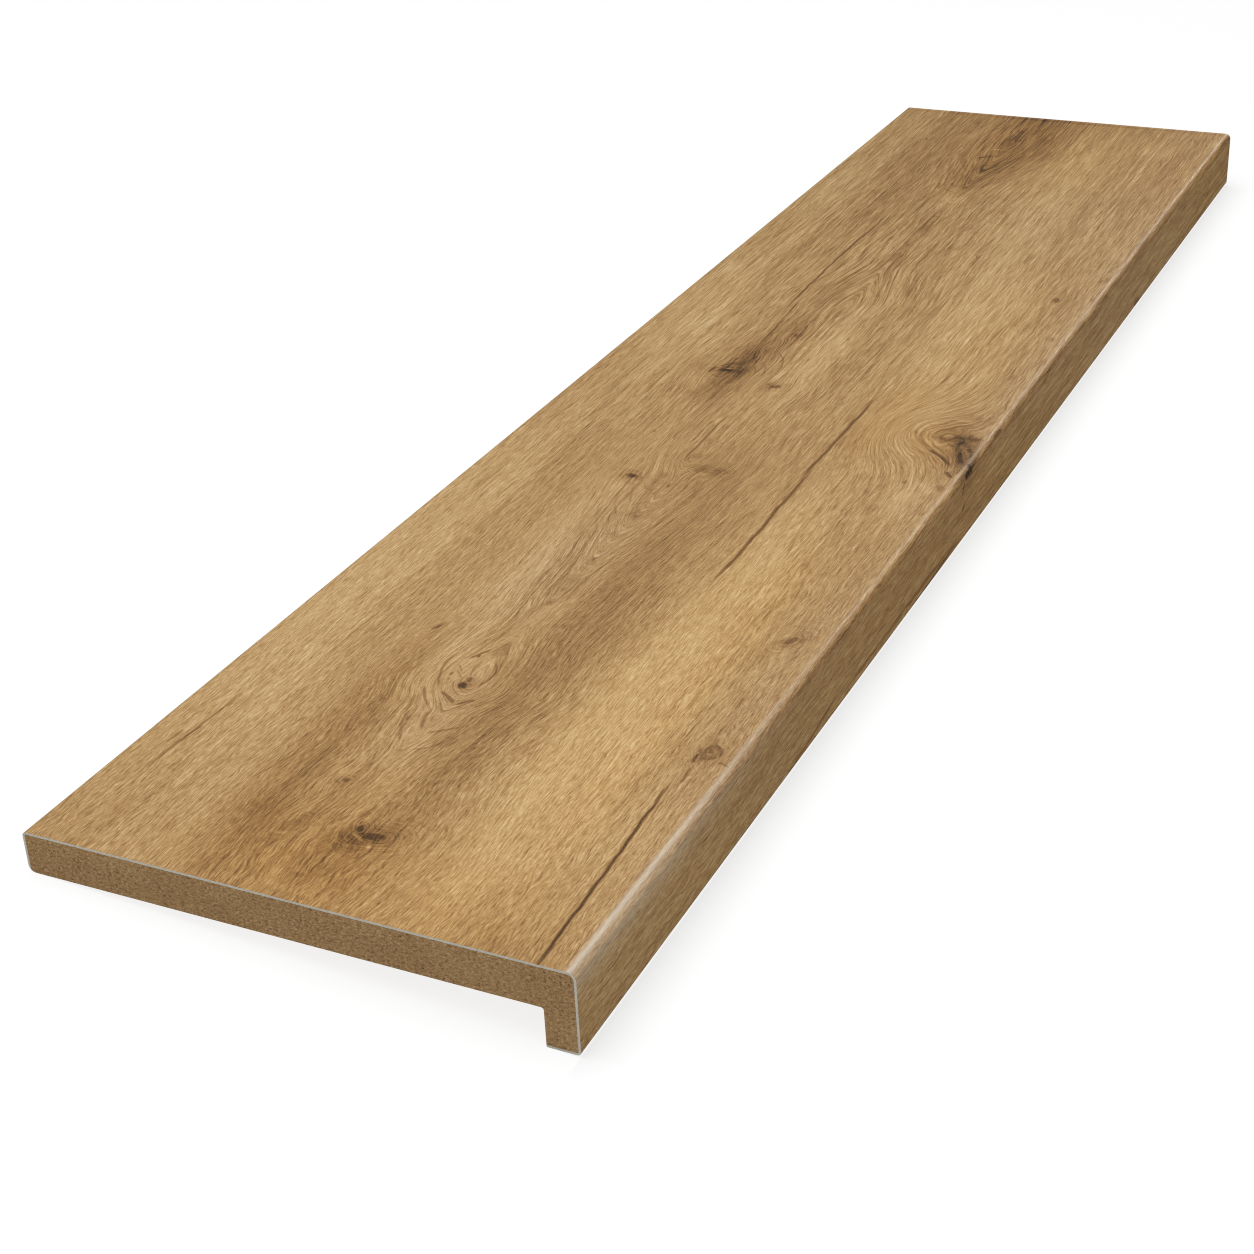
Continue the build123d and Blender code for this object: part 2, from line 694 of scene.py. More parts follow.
@dataclass(frozen=True)
class OakDecor:
    """The printed and embossed oak face of the laminate, with a satin seal.

    Attributes:
        marks: the groups that draw the marks.
        stretch: where the stretch of the sheet that this finish covers starts and ends, in millimetres along.
            Only the marks that reach it are drawn, which keeps the shader quick.
        knots: the knots and their strokes.
        cracks: the cracks and veins.
        strokes: the thin brown lines of the knots and the growth rings round them.
        clouds: the soft patches of tone.
        ring_shifts: where the growth rings swing out from the heart or draw in.
        fresh_start: where streak by streak the rings leave off their shifts so far, in millimetres along.
        fresh_reach: how far to either side of it single streaks may do so.
        swells: where the grain swells out over a great knot.
        curls: where the grain runs in curls.
        clearings: where the grain runs straight through and no growth ring shows.
        heart_across: where the heart lies across the sheet, at the middle of its length.
        heart_slope: how much the heart climbs for each millimetre along.
        far_grain: between which places along the fine grain gives way to broader streaks.
        nose_across: where the sheet starts to bend over the nose; painted highlight and shade lie along it.
        nose_highlight_span: between which places along the nose's painted highlight grows and its painted
            shade fades.
        nose_highlight_colour: the colour of the painted highlight on the nose.
        base_tone: where plain wood lies among the tones.
        tones: the colours from the darkest to the palest wood.
        tints: what the colours are multiplied by, from greyish to honey-coloured wood.
    """

    marks: OakMarks
    stretch: tuple[float, float]
    knots: tuple[Knot, ...] = (
        # the swirl near the near end
        Knot(-590.4, -12.6, 5.8, 3.2, -74.0, 0.95, 0.25, 0.14, 16.0, 52.0, 42.0, 0.34),
        Knot(-590.2, -16.6, 2.6, 1.8, -74.0, 0.6),
        Knot(-587.0, -3.2, 3.8, 2.4, 20.0, 0.88),
        Knot(-581.7, 9.0, 4.6, 1.3, -25.0, 0.42),
        Knot(-596.2, 30.1, 6.0, 3.2, -20.0, 0.3, 0.0, 0.05, 9.0, 18.0, 14.0, 0.3),
        Knot(-552.3, 26.2, 2.4, 2.6, 20.0, 0.5, 0.0, 0.09, 7.0, 14.0, 12.0, 0.3),
        # the pupil and the specks of the eye
        Knot(-449.1, 17.2, 4.2, 3.1, 20.0, 0.94, 0.0, 0.08, 4.0, 22.0, 12.0, 0.3),
        Knot(-442.6, 16.6, 3.6, 1.5, 10.0, 0.72),
        Knot(-439.7, 29.3, 1.9, 1.0, 0.0, 0.56),
        Knot(-445.4, 27.6, 1.9, 0.8, 0.0, 0.46),
        Knot(-417.9, 24.5, 2.0, 1.2, 0.0, 0.7),
        Knot(-355.0, 19.2, 9.0, 3.0, -10.0, 0.2),
        Knot(-396.8, 62.1, 4.4, 1.2, -25.0, 0.6, 0.0, 0.06, 6.0, 16.0, 8.0, 0.3),
        # the pair by the nose at the near half
        Knot(-463.5, -132.5, 7.6, 5.0, -18.0, 0.66, 0.72, 0.1, 11.0, 26.0, 12.0, 0.4),
        Knot(-461.7, -132.0, 3.4, 1.4, 20.0, 0.6),
        Knot(-467.5, -129.0, 6.0, 0.9, 28.0, 0.5),
        Knot(-342.3, -127.5, 6.0, 2.6, -28.0, 0.66, 0.2, 0.1, 11.0, 22.0, 11.0, 0.4),
        # the pin knots where the arches end
        Knot(-178.7, 44.8, 4.2, 3.0, 60.0, 0.86, 0.0, 0.22, 10.0, 28.0, 18.0, 0.48),
        Knot(-155.9, -0.4, 8.0, 3.4, -80.0, 0.1, 0.2, 0.03, 8.0, 22.0, 24.0, 0.2),
        Knot(-171.4, 26.9, 4.0, 3.0, 15.0, 0.18, 0.3),
        Knot(-144.4, 22.5, 4.0, 1.8, -25.0, 0.28, 0.3),
        Knot(-86.1, 31.2, 3.5, 0.9, 0.0, 0.5),
        Knot(-15.4, 13.8, 3.8, 2.6, -60.0, 0.84, 0.3, 0.18, 10.0, 20.0, 18.0, 0.42),
        # the split knot and the smaller one that it runs out to
        Knot(1.3, 57.0, 6.2, 2.5, -84.0, 0.88, 0.0, 0.18, 12.0, 44.0, 26.0, 0.45),
        Knot(16.4, 52.0, 7.0, 3.0, -40.0, 0.4),
        Knot(77.1, 35.3, 4.0, 2.0, 20.0, 0.52, 0.2, 0.1, 8.0, 18.0, 9.0, 0.36),
        # the great swirl that runs over the nose
        Knot(-76.3, -139.6, 20.0, 6.5, 22.0, 0.4, 0.3, 0.12, 12.0),
        Knot(-58.4, -119.5, 8.5, 2.2, -82.0, 0.26),
        Knot(-54.4, -137.6, 8.0, 2.8, -80.0, 0.46),
        Knot(-65.3, -136.6, 6.0, 3.0, 40.0, 0.5),
        Knot(-130.3, -118.5, 3.0, 1.6, 0.0, 0.4),
        Knot(-131.8, -142.1, 6.0, 3.0, 20.0, 0.3),
        Knot(-109.3, -169.9, 3.0, 1.3, 30.0, 0.72),
        # the small ones of the far half
        Knot(203.6, -119.5, 4.6, 2.6, 15.0, 0.62, 0.2, 0.09, 8.0, 18.0, 11.0, 0.36),
        Knot(522.0, 36.6, 4.2, 2.2, -40.0, 0.64, 0.0, 0.06, 6.0, 18.0, 8.0, 0.3),
        Knot(484.2, 11.0, 2.4, 1.0, 0.0, 0.5),
        Knot(501.3, 3.0, 2.4, 1.0, 0.0, 0.46),
        Knot(558.7, 100.3, 2.6, 1.1, 0.0, 0.5),
        Knot(606.5, 50.0, 9.0, 1.8, -24.0, 0.28),
        Knot(255.0, -142.7, 9.0, 2.2, 0.0, 0.24),
        Knot(327.1, -189.9, 11.0, 4.5, -10.0, 0.4),
    )
    cracks: tuple[Crack, ...] = (
        Crack(-580.5, -128.7, 98.0, 1.0, 0.9, 0.045),
        Crack(-214.1, -59.0, 100.0, 1.25, 0.74, 0.016, -0.8),
        Crack(-80.2, -57.0, 85.0, 1.2, 0.74, -0.004, 0.4),
        Crack(97.9, 56.9, 62.0, 1.0, 0.56, 0.055, -1.2),
        Crack(229.1, 61.0, 135.0, 1.0, 0.7, 0.004, 3.6),
        Crack(-545.0, 126.3, 40.0, 0.85, 0.52, -0.045),
        Crack(-541.5, 126.0, 9.0, 0.85, 0.7, -0.12),
        Crack(-548.5, 132.0, 9.0, 0.7, 0.46, -0.06),
        Crack(-505.5, 124.1, 10.0, 0.8, 0.36),
        Crack(-554.0, 68.0, 20.0, 0.75, 0.26, -0.35),
        Crack.between((-517.8, -125.7), (-498.9, -124.9), 0.7, 0.62, 0.4),
        Crack(-590.9, 128.1, 70.0, 0.6, 0.2, -0.012, 0.6),
        Crack(267.3, 0.7, 55.0, 0.9, 0.36, 0.03, 1.4),
        Crack(257.7, 96.0, 70.0, 0.7, 0.28, 0.006, 0.6),
        Crack(55.1, -30.4, 75.0, 0.6, 0.3, -0.004),
        Crack(-108.1, 24.7, 46.0, 0.8, 0.52, 0.022),
        Crack(-102.0, 31.2, 22.0, 0.6, 0.42, 0.01),
        Crack(361.2, -105.2, 50.0, 0.6, 0.22, 0.004),
        Crack(-222.5, -186.6, 115.0, 1.1, 0.46, 0.004),
        Crack(-370.2, -187.8, 48.0, 1.0, 0.46, 0.105),
        Crack(-171.2, -190.6, 62.0, 1.3, 0.54, 0.045),
    )
    strokes: tuple[Crack, ...] = (
        # the hatching beside the near swirl
        Crack.between((-609.1, -4.1), (-601.2, 2.9), 0.6, 0.23, 0.6),
        Crack.between((-607.1, -6.6), (-598.8, 0.4), 0.6, 0.25, 0.6),
        Crack.between((-603.7, -8.6), (-596.9, -2.6), 0.6, 0.25, 0.6),
        Crack.between((-600.3, -11.1), (-594.9, -6.1), 0.6, 0.23, 0.6),
        # the outlines of the eye
        Crack.between((-457.5, 26.2), (-413.4, 35.4), 0.8, 0.44, 5.9),
        Crack.between((-450.6, 11.9), (-418.6, 14.4), 0.8, 0.5, -6.9),
        Crack.between((-468.6, 11.9), (-457.5, 26.2), 1.22, 0.54, -0.8),
        Crack.between((-468.6, 11.9), (-458.9, 2.8), 1.01, 0.58),
        Crack.between((-476.5, 21.8), (-454.4, 36.4), 1.01, 0.44, 2.0),
        Crack.between((-497.9, 14.8), (-476.5, 21.8), 1.11, 0.46, 0.9),
        Crack.between((-498.7, 12.8), (-485.3, -4.3), 1.01, 0.4, -0.6),
        Crack.between((-515.6, 16.6), (-459.3, 38.1), 1.01, 0.29, 2.9),
        Crack.between((-516.6, 13.7), (-490.6, -4.3), 1.01, 0.28, -5.6),
        Crack.between((-423.3, 28.1), (-407.6, 20.7), 0.9, 0.6),
        Crack.between((-441.1, 17.6), (-420.9, 19.9), 0.69, 0.34, 0.6),
        Crack.between((-436.6, 24.0), (-428.7, 30.1), 0.64, 0.34),
        Crack.between((-442.5, 21.0), (-434.6, 28.6), 0.64, 0.3),
        # the curls of the near knot by the nose
        Crack.between((-475.8, -128.3), (-464.9, -127.0), 1.0, 0.74, 0.8),
        Crack.between((-496.0, -129.9), (-477.0, -129.4), 1.0, 0.44, 0.4),
        Crack.between((-463.8, -128.5), (-455.7, -131.7), 0.75, 0.62, 1.0),
        Crack.between((-458.3, -135.7), (-455.7, -131.7), 0.75, 0.66, -0.4),
        Crack.between((-462.9, -134.9), (-463.3, -129.7), 0.75, 0.62, 0.5),
        Crack.between((-470.3, -133.0), (-468.5, -129.5), 0.75, 0.6, 0.4),
        Crack.between((-470.3, -133.0), (-466.0, -137.6), 0.75, 0.62, 0.6),
        Crack.between((-466.0, -137.6), (-458.3, -135.7), 0.7, 0.56, -0.6),
        Crack.between((-470.2, -138.6), (-472.7, -146.6), 0.8, 0.4, -0.6),
        Crack.between((-420.2, -126.9), (-405.8, -126.6), 1.3, 0.34),
        # the arches behind the pin knots
        Crack.between((-194.7, 26.5), (-187.6, 32.5), 0.75, 0.21, 0.5),
        Crack.between((-194.7, 26.5), (-189.9, 21.9), 0.75, 0.21, -0.5),
        Crack.between((-201.8, 26.7), (-190.1, 15.7), 0.75, 0.18, -1.2),
        Crack.between((-217.8, 27.3), (-188.0, 37.9), 0.8, 0.21, 1.5),
        Crack.between((-217.8, 27.3), (-207.5, 19.3), 0.8, 0.21, -0.8),
        Crack.between((-236.0, 28.1), (-199.2, 43.0), 0.85, 0.19, 2.0),
        Crack.between((-236.0, 28.1), (-214.0, 15.6), 0.85, 0.19, -1.6),
        Crack.between((-263.0, 27.6), (-222.0, 46.0), 0.9, 0.16, 2.4),
        Crack.between((-263.0, 27.6), (-235.6, 10.5), 0.9, 0.16, -2.0),
        # the rim of the split knot and the loops that it runs out to
        Crack.between((-8.2, 67.1), (5.0, 65.2), 0.92, 0.68, 1.0),
        Crack.between((5.0, 65.2), (17.4, 52.8), 1.0, 0.68, 0.8),
        Crack.between((-12.1, 56.4), (-9.2, 64.3), 0.64, 0.48, 0.5),
        Crack.between((-1.6, 36.9), (15.2, 43.8), 0.64, 0.36, -2.5),
        Crack.between((-5.2, 30.9), (22.9, 38.7), 0.64, 0.36, -3.0),
        Crack.between((0.6, 25.1), (46.5, 38.5), 0.68, 0.36, -7.0),
        # the strokes of the great swirl, on the top and down the front
        Crack.between((-100.4, -139.8), (-77.1, -115.0), 1.61, 0.72, -1.4),
        Crack.between((-115.1, -144.6), (-105.8, -137.7), 1.61, 0.7),
        Crack.between((-70.8, -131.1), (-65.0, -124.5), 1.47, 0.57, 0.6),
        Crack.between((-94.1, -144.0), (-74.7, -135.8), 2.17, 0.79, -0.6),
        Crack.between((-75.4, -145.1), (-68.8, -139.1), 2.1, 0.75),
        Crack.between((-96.3, -152.4), (-89.3, -146.2), 2.24, 0.79),
        Crack.between((-107.2, -153.0), (-94.3, -151.4), 1.68, 0.74, 0.6),
        Crack.between((-111.1, -161.8), (-106.2, -152.6), 1.33, 0.66, 0.8),
        Crack.between((-46.7, -149.0), (-26.9, -150.1), 1.33, 0.42),
        # the arches of the far end
        Crack.between((419.7, 27.1), (431.5, 41.9), 1.26, 0.22, 1.0),
        Crack.between((431.5, 41.9), (489.0, 51.2), 1.26, 0.2, 1.2),
        Crack.between((489.0, 51.2), (537.9, 56.4), 1.15, 0.15, 0.4),
        Crack.between((436.3, 34.0), (446.0, 40.8), 1.72, 0.29, 1.0),
        Crack.between((436.3, 34.0), (447.8, 27.5), 1.49, 0.26, -1.0),
        Crack.between((447.8, 27.5), (472.9, 23.7), 1.26, 0.24, -0.4),
        Crack.between((446.0, 40.8), (498.1, 45.9), 1.15, 0.17, 0.6),
        Crack.between((476.1, 37.3), (518.9, 51.8), 1.61, 0.26, 1.4),
        Crack.between((518.9, 51.8), (579.6, 57.4), 1.15, 0.17, 0.6),
        Crack.between((476.1, 37.3), (506.8, 25.5), 1.61, 0.29, -1.0),
        Crack.between((506.8, 25.5), (529.3, 17.5), 1.38, 0.25),
        Crack.between((521.0, 36.4), (536.3, 19.6), 1.95, 0.29, -1.4),
        Crack.between((536.3, 19.6), (551.4, 12.1), 1.61, 0.24),
        Crack.between((553.4, 30.9), (598.7, 29.3), 2.18, 0.25, 1.4),
        Crack.between((598.7, 29.3), (617.0, 22.4), 1.84, 0.24, 0.6),
        Crack.between((592.3, 15.2), (633.3, 4.0), 2.18, 0.22, 0.5),
        Crack.between((511.0, 11.9), (539.0, 2.4), 1.72, 0.2, -0.8),
        Crack.between((539.0, 2.4), (623.3, 1.2), 1.95, 0.2, -1.8),
        Crack.between((406.8, 24.3), (451.1, 16.8), 1.49, 0.17),
    )
    clouds: tuple[Cloud, ...] = (
        # the back strip
        Cloud(-334.6, 130.0, 230.0, 28.0, 0.085),
        Cloud(-235.0, 150.0, 120.0, 10.0, 0.044),
        Cloud(135.3, 126.3, 130.0, 28.0, 0.08),
        Cloud(399.3, 128.7, 70.0, 14.0, 0.07),
        Cloud(533.5, 153.3, 60.0, 8.0, 0.075),
        Cloud(-644.7, 130.4, 40.0, 30.0, -0.04),
        Cloud(-181.3, 97.1, 60.0, 12.0, -0.062),
        Cloud(-520.0, 100.0, 150.0, 15.0, 0.045),
        Cloud(-222.0, 103.0, 36.0, 13.0, 0.06),
        Cloud(65.0, 100.0, 65.0, 14.0, 0.06),
        Cloud(395.0, 100.0, 65.0, 14.0, 0.035),
        # the brown wood round the heart, at the near end
        Cloud(-527.6, 55.0, 125.0, 15.0, -0.125, 0.2, 0.02),
        Cloud(-606.1, 13.5, 62.0, 46.0, -0.08, 0.5),
        Cloud(-395.0, -21.3, 230.0, 14.0, -0.13),
        Cloud(-380.0, -4.1, 220.0, 10.0, -0.07),
        Cloud(-335.8, 48.7, 115.0, 15.0, 0.09, -0.2, 0.06),
        Cloud(-290.0, 25.0, 90.0, 22.0, 0.0, -0.5),
        Cloud(-555.0, 10.0, 45.0, 18.0, 0.05),
        Cloud(-600.0, -3.0, 15.0, 10.0, -0.15, 0.2, -0.6),
        Cloud(-589.0, 49.0, 13.0, 9.0, -0.06, 0.3, 0.3),
        Cloud(-624.0, 2.0, 9.0, 20.0, -0.07, 0.3),
        Cloud(-593.5, -5.8, 4.6, 1.1, 0.24, 0.0, 1.95),
        Cloud(-598.9, -15.3, 1.6, 1.3, 0.3),
        Cloud(-433.7, 21.0, 17.0, 10.0, 0.07, 0.0, 0.1),
        Cloud(-475.0, 17.0, 46.0, 15.0, 0.03, -0.4, 0.1),
        # the same in the middle
        Cloud(-200.0, 45.0, 50.0, 14.0, 0.035),
        Cloud(-154.4, 3.6, 6.0, 13.0, -0.12),
        Cloud(-158.0, 2.0, 40.0, 24.0, -0.045),
        Cloud(-81.2, 27.7, 6.0, 1.2, 0.26),
        Cloud(4.1, 55.8, 1.1, 3.6, 0.42),
        Cloud(-2.0, 52.0, 52.0, 13.0, -0.19, 0.0, 0.05),
        Cloud(50.0, 46.0, 66.0, 14.0, -0.18, 0.0, -0.08),
        Cloud(165.0, 46.0, 40.0, 14.0, -0.065),
        Cloud(51.1, 3.2, 100.0, 16.0, 0.12),
        # the same at the far end
        Cloud(563.1, 21.0, 135.0, 32.0, -0.215, 0.4, -0.06),
        Cloud(565.0, -14.0, 65.0, 14.0, -0.085),
        Cloud(499.5, 82.7, 200.0, 25.0, -0.115),
        Cloud(492.0, 46.0, 40.0, 12.0, 0.06),
        Cloud(580.0, 25.0, 34.0, 9.0, -0.06, 0.0, -0.1),
        Cloud(546.5, 29.0, 1.6, 8.5, 0.2),
        # darker towards the far end, with a thin dark line along the end
        Cloud(638.0, -17.9, 34.0, 190.0, -0.045, 0.1),
        Cloud(643.9, -2.5, 2.6, 160.0, -0.11),
        Cloud(575.0, -50.0, 130.0, 125.0, 0.0, 0.6),
        # the honey-coloured wood before it
        Cloud(-455.0, -73.0, 200.0, 25.0, 0.125, 0.45),
        Cloud(-239.1, -78.0, 100.0, 20.0, 0.085, 0.2),
        Cloud(-360.0, -44.0, 105.0, 13.0, -0.06),
        Cloud(-288.0, -70.0, 55.0, 14.0, -0.03),
        Cloud(149.3, -66.0, 140.0, 26.0, 0.115, 0.1),
        Cloud(115.0, -42.0, 85.0, 13.0, -0.05),
        Cloud(412.1, -51.2, 170.0, 18.0, 0.075),
        Cloud(68.1, -98.3, 160.0, 25.0, 0.04, 0.3),
        Cloud(-655.1, -98.7, 34.0, 45.0, -0.088, 0.1),
        Cloud(-505.0, -100.0, 105.0, 14.0, 0.055, 0.5),
        Cloud(-330.0, -100.0, 100.0, 14.0, 0.015, 0.5),
        Cloud(-40.0, -74.0, 75.0, 16.0, 0.0, 0.5),
        Cloud(-628.0, -40.0, 45.0, 100.0, 0.0, 0.55),
        # the greyer tone by the nose and before it, partly painted sheen, and the great swirl in it
        # a lighter, greyer band down the front under the nose at the near end: painted sheen
        Cloud(-590.0, -157.0, 80.0, 9.0, 0.09, -0.3),
        Cloud(-560.0, -178.0, 110.0, 14.0, 0.03, 0.3),
        Cloud(-110.0, -172.0, 330.0, 26.0, -0.038, 0.55),
        Cloud(560.0, -172.0, 170.0, 26.0, 0.04, 0.45),
        Cloud(-397.3, -136.5, 170.0, 12.0, -0.03, -0.5),
        Cloud(-548.0, -128.0, 40.0, 14.0, 0.045, 0.2),
        # a greyer band along the bend of the nose: painted sheen
        Cloud(66.8, -142.7, 320.0, 9.0, 0.013, -0.6),
        Cloud(510.0, -130.0, 120.0, 15.0, -0.065, 0.2),
        Cloud(-151.2, -126.5, 28.0, 10.0, 0.094, -0.2),
        Cloud(-76.0, -138.5, 30.0, 10.0, -0.19, 0.0, 0.25),
        Cloud(-83.7, -141.0, 5.0, 1.1, 0.26, 0.0, 0.42),
        Cloud(-57.0, -130.0, 9.0, 15.0, -0.12),
        Cloud(-69.8, -117.5, 34.0, 20.0, -0.04, 0.4, 0.5),
    )
    ring_shifts: tuple[RingShift, ...] = (
        RingShift(-532.7, -473.9, -8.0, -8.0),
        RingShift(-478.8, -444.5, -16.0, -16.0),
        RingShift(-444.5, -350.0, 15.0, 14.0),
        RingShift(-400.2, -326.3, -10.0, -9.0),
        RingShift(-326.3, -171.8, -27.0, -27.0),
        RingShift(-174.0, -134.0, -9.0, -14.0),
        RingShift(142.2, 238.0, 14.0, 14.0),
        RingShift(408.0, 571.0, -14.0, -20.0),
    )
    fresh_start: float = -112.0
    fresh_reach: float = 60.0
    swells: tuple[Swell, ...] = (Swell(-54.0, -145.0, 46.0, 65.0, 0.9),)
    curls: tuple[Mark, ...] = (
        Mark(-603.1, 19.5, 50.0, 52.0),
        Mark(-62.0, -128.0, 26.0, 14.0),
        Mark(42.3, 43.9, 42.0, 15.0),
    )
    clearings: tuple[Mark, ...] = (
        Mark(-438.6, 19.0, 30.0, 15.0),
        Mark(-100.1, 26.1, 62.0, 15.0),
    )
    heart_across: float = 20.0
    heart_slope: float = 0.012
    far_grain: tuple[float, float] = (-480.0, 240.0)
    nose_across: float = -146.4
    nose_highlight_span: tuple[float, float] = (-350.0, -640.0)
    nose_highlight_colour: Colour = (0.73, 0.69, 0.60)
    base_tone: float = 0.575
    tones: tuple[tuple[float, Colour], ...] = (
        (0.00, (0.045, 0.026, 0.015)),
        (0.24, (0.218, 0.115, 0.044)),
        (0.40, (0.328, 0.181, 0.070)),
        (0.56, (0.446, 0.270, 0.114)),
        (0.72, (0.570, 0.377, 0.175)),
        (0.88, (0.685, 0.503, 0.275)),
        (1.00, (0.765, 0.596, 0.360)),
    )
    tints: tuple[tuple[float, Colour], ...] = (
        (0.00, (0.97, 1.00, 1.14)),
        (0.50, (1.00, 1.00, 1.00)),
        (1.00, (1.04, 0.985, 0.84)),
    )

    def figure(self, sheet: Sheet) -> dict[str, Signal]:
        """Places the knots and bends the grain round them and the heart of the log.

        Args:
            sheet: the place on the sheet.

        Returns:
            offset and ring, the distances from the heart across the sheet and through the growth rings;
            core, halo and wrapped, the knots' masks; and away, the distance from the nearest knot.
        """
        graph, place = sheet.graph, sheet.place
        ragged = sheet.cells(3.0, 1.8, 4.0, 1.0) * 0.9
        knots = [knot for knot in self.knots if knot.touches(self.stretch)]
        drawn = [self.marks.knot.place(graph, place=place, ragged=ragged, **knot.drawn()) for knot in knots]
        push = graph.total(self.marks.parting.place(graph, place=place, **knot.parted())["push"]
                           for knot in knots if knot.spread)
        waver = sheet.cells(48.0, 13.0, 2.0, 1.0) * 3.2
        curly = graph.most(mark.patch(sheet) for mark in self.curls)
        curl = sheet.cells(17.0, 15.0, 3.0, 1.0) * 8.0 * curly
        lifted = graph.total(mark.lifted(sheet) for mark in self.swells if mark.touches(self.stretch))
        heart = sheet.along * self.heart_slope + self.heart_across
        offset = sheet.across + push + waver + curl - lifted - heart
        before, behind = self.shifts(sheet, offset)
        shift = before + (behind - before) * graph.fade(offset, -15.0, 15.0)
        ring = graph.math("SQRT", offset * offset + 9.0) + shift * graph.bell(offset / 48.0)
        return {"offset": offset, "ring": ring,
                "core": graph.most(knot["core"] for knot in drawn),
                "halo": graph.total(knot["halo"] for knot in drawn),
                "wrapped": graph.most(knot["wrapped"] for knot in drawn),
                "away": graph.least((knot["away"] for knot in drawn), 99.0)}

    def old_rings(self, sheet: Sheet, offset: Signal) -> Number:
        """Tells the streaks that keep the shifts made before the fresh start.

        Args:
            sheet: the place on the sheet.
            offset: the distance from the heart across the sheet.

        Returns:
            A mask, or the number that it has throughout this stretch.
        """
        start, end = self.stretch
        if end < self.fresh_start - self.fresh_reach:
            return 1.0
        if start > self.fresh_start + self.fresh_reach:
            return 0.0
        streak = sheet.graph.cells(sheet.along, offset, (40.0, 1.6), 61.0)
        return sheet.graph.fade(sheet.along + streak * 150.0, self.fresh_start + 2.0, self.fresh_start - 2.0)

    def shifts(self, sheet: Sheet, offset: Signal) -> tuple[Number, Number]:
        """How far the growth rings have drawn in to the heart at a place along the sheet.

        Args:
            sheet: the place on the sheet.
            offset: the distance from the heart across the sheet.

        Returns:
            The distance before the heart and the one behind it.
        """
        kept = self.old_rings(sheet, offset)
        before: Number = 0.0
        behind: Number = 0.0
        for shift in self.ring_shifts:
            share = sheet.graph.fade(sheet.along, shift.start, shift.end)
            if shift.end < self.fresh_start:
                share = share * kept
            before = before + share * shift.below
            behind = behind + share * shift.above
        return before, behind

    def grain(self, sheet: Sheet, figure: dict[str, Signal]) -> dict[str, Signal]:
        """Draws the streaks, hairlines and pores that follow the grain.

        Args:
            sheet: the place on the sheet.
            figure: the distances from the heart and the nearest knot.

        Returns:
            fine, streak, mottle, line and broad, about zero; hair, pale and pore, masks.
        """
        graph, along, across = sheet.graph, sheet.along, sheet.across
        ring, offset = figure["ring"], figure["offset"]
        depth = across / 70.0
        # the cells of the grain grow longer towards the far end
        run = graph.math("LOGARITHM", along / 600.0 + 2.1667, math.e) * 1000.0
        crinkle = sheet.cells(11.0, 4.0, 23.0) * 2.2
        bent = graph.cells(run, ring + crinkle, (8.0, 0.6), depth)
        straight = graph.cells(run, offset + crinkle, (8.0, 0.6), 3.0)
        round_knots = graph.noise(graph.point(figure["away"] / 0.8, along / 9.0, across / 7.0), 0.0)
        plain = graph.most((graph.bell(offset / 5.0) * 0.7, *(mark.patch(sheet) for mark in self.clearings)))
        fine = bent + (straight - bent) * plain
        hairline = graph.cells(along, ring, (42.0, 1.9), depth + 7.0)
        paleline = graph.cells(along, ring, (34.0, 2.2), depth + 17.0)
        pore = graph.cells(along, ring, (4.0, 0.7), depth + 31.0)
        return {
            "fine": fine + (round_knots - fine) * figure["wrapped"],
            "hair": graph.fade(graph.math("ABSOLUTE", hairline), 0.06, 0.0),
            "pale": graph.fade(graph.math("ABSOLUTE", paleline), 0.06, 0.0),
            "streak": graph.cells(run, ring + crinkle * 0.6, (19.2, 1.05), depth + 41.0),
            "mottle": sheet.cells(2.2, 1.1, 27.0, 1.0, 0.7),
            "line": graph.cells(run, ring, (52.0, 2.4), depth + 13.0, 1.0, 0.6),
            "broad": graph.cells(along, ring, (260.0, 12.0), depth + 21.0, 2.0),
            "pore": graph.fade(pore, 0.14, 0.30),
        }

    def growth(self, sheet: Sheet, figure: dict[str, Signal]) -> Signal:
        """Draws the brown growth lines, which show best near the heart.

        Args:
            sheet: the place on the sheet.
            figure: the distances from the heart.

        Returns:
            A mask.
        """
        graph = sheet.graph
        spacing = graph.cells(sheet.along, figure["ring"], (90.0, 1.5), sheet.across / 80.0 + 13.0, 1.0)
        near_heart = graph.bell(figure["offset"] / 42.0)
        clear = 1.0 - graph.most(mark.patch(sheet) for mark in self.clearings)
        return graph.fade(spacing, 0.02, 0.14) * near_heart * clear * 0.7

    def pressed(self, sheet: Sheet) -> Signal:
        """The height of the pressed grain, about zero; it runs straight along the sheet under the print."""
        pore = sheet.graph.fade(sheet.cells(6.0, 0.8, 57.0), 0.16, 0.30)
        return sheet.cells(12.0, 1.3, 51.0, 1.0) - pore * 0.6

    def cracked(self, sheet: Sheet) -> Signal:
        """The mask of the cracks and strokes, whose paths waver a little."""
        waver = sheet.cells(30.0, 60.0, 5.0, 2.0, 0.6) * 4.0
        return sheet.graph.most(
            self.marks.crack.place(sheet.graph, place=sheet.place, waver=waver, **mark.drawn())["dark"]
            for mark in (*self.cracks, *self.strokes) if mark.touches(self.stretch))

    def material(self) -> bpy.types.Material:
        """Builds the finish.

        Returns:
            The material. It reads the piece's own decor map.
        """
        material, graph, shader = new_material("oak_decor")
        sheet = Sheet.mapped(graph)
        figure = self.figure(sheet)
        grain = self.grain(sheet, figure)
        patches = [self.marks.cloud.place(graph, place=sheet.place, **mark.drawn())
                   for mark in self.clouds if mark.touches(self.stretch)]
        tone = graph.total(patch["tone"] for patch in patches) + self.base_tone
        warmth = graph.total(patch["warmth"] for patch in patches) * 0.5 + 0.5

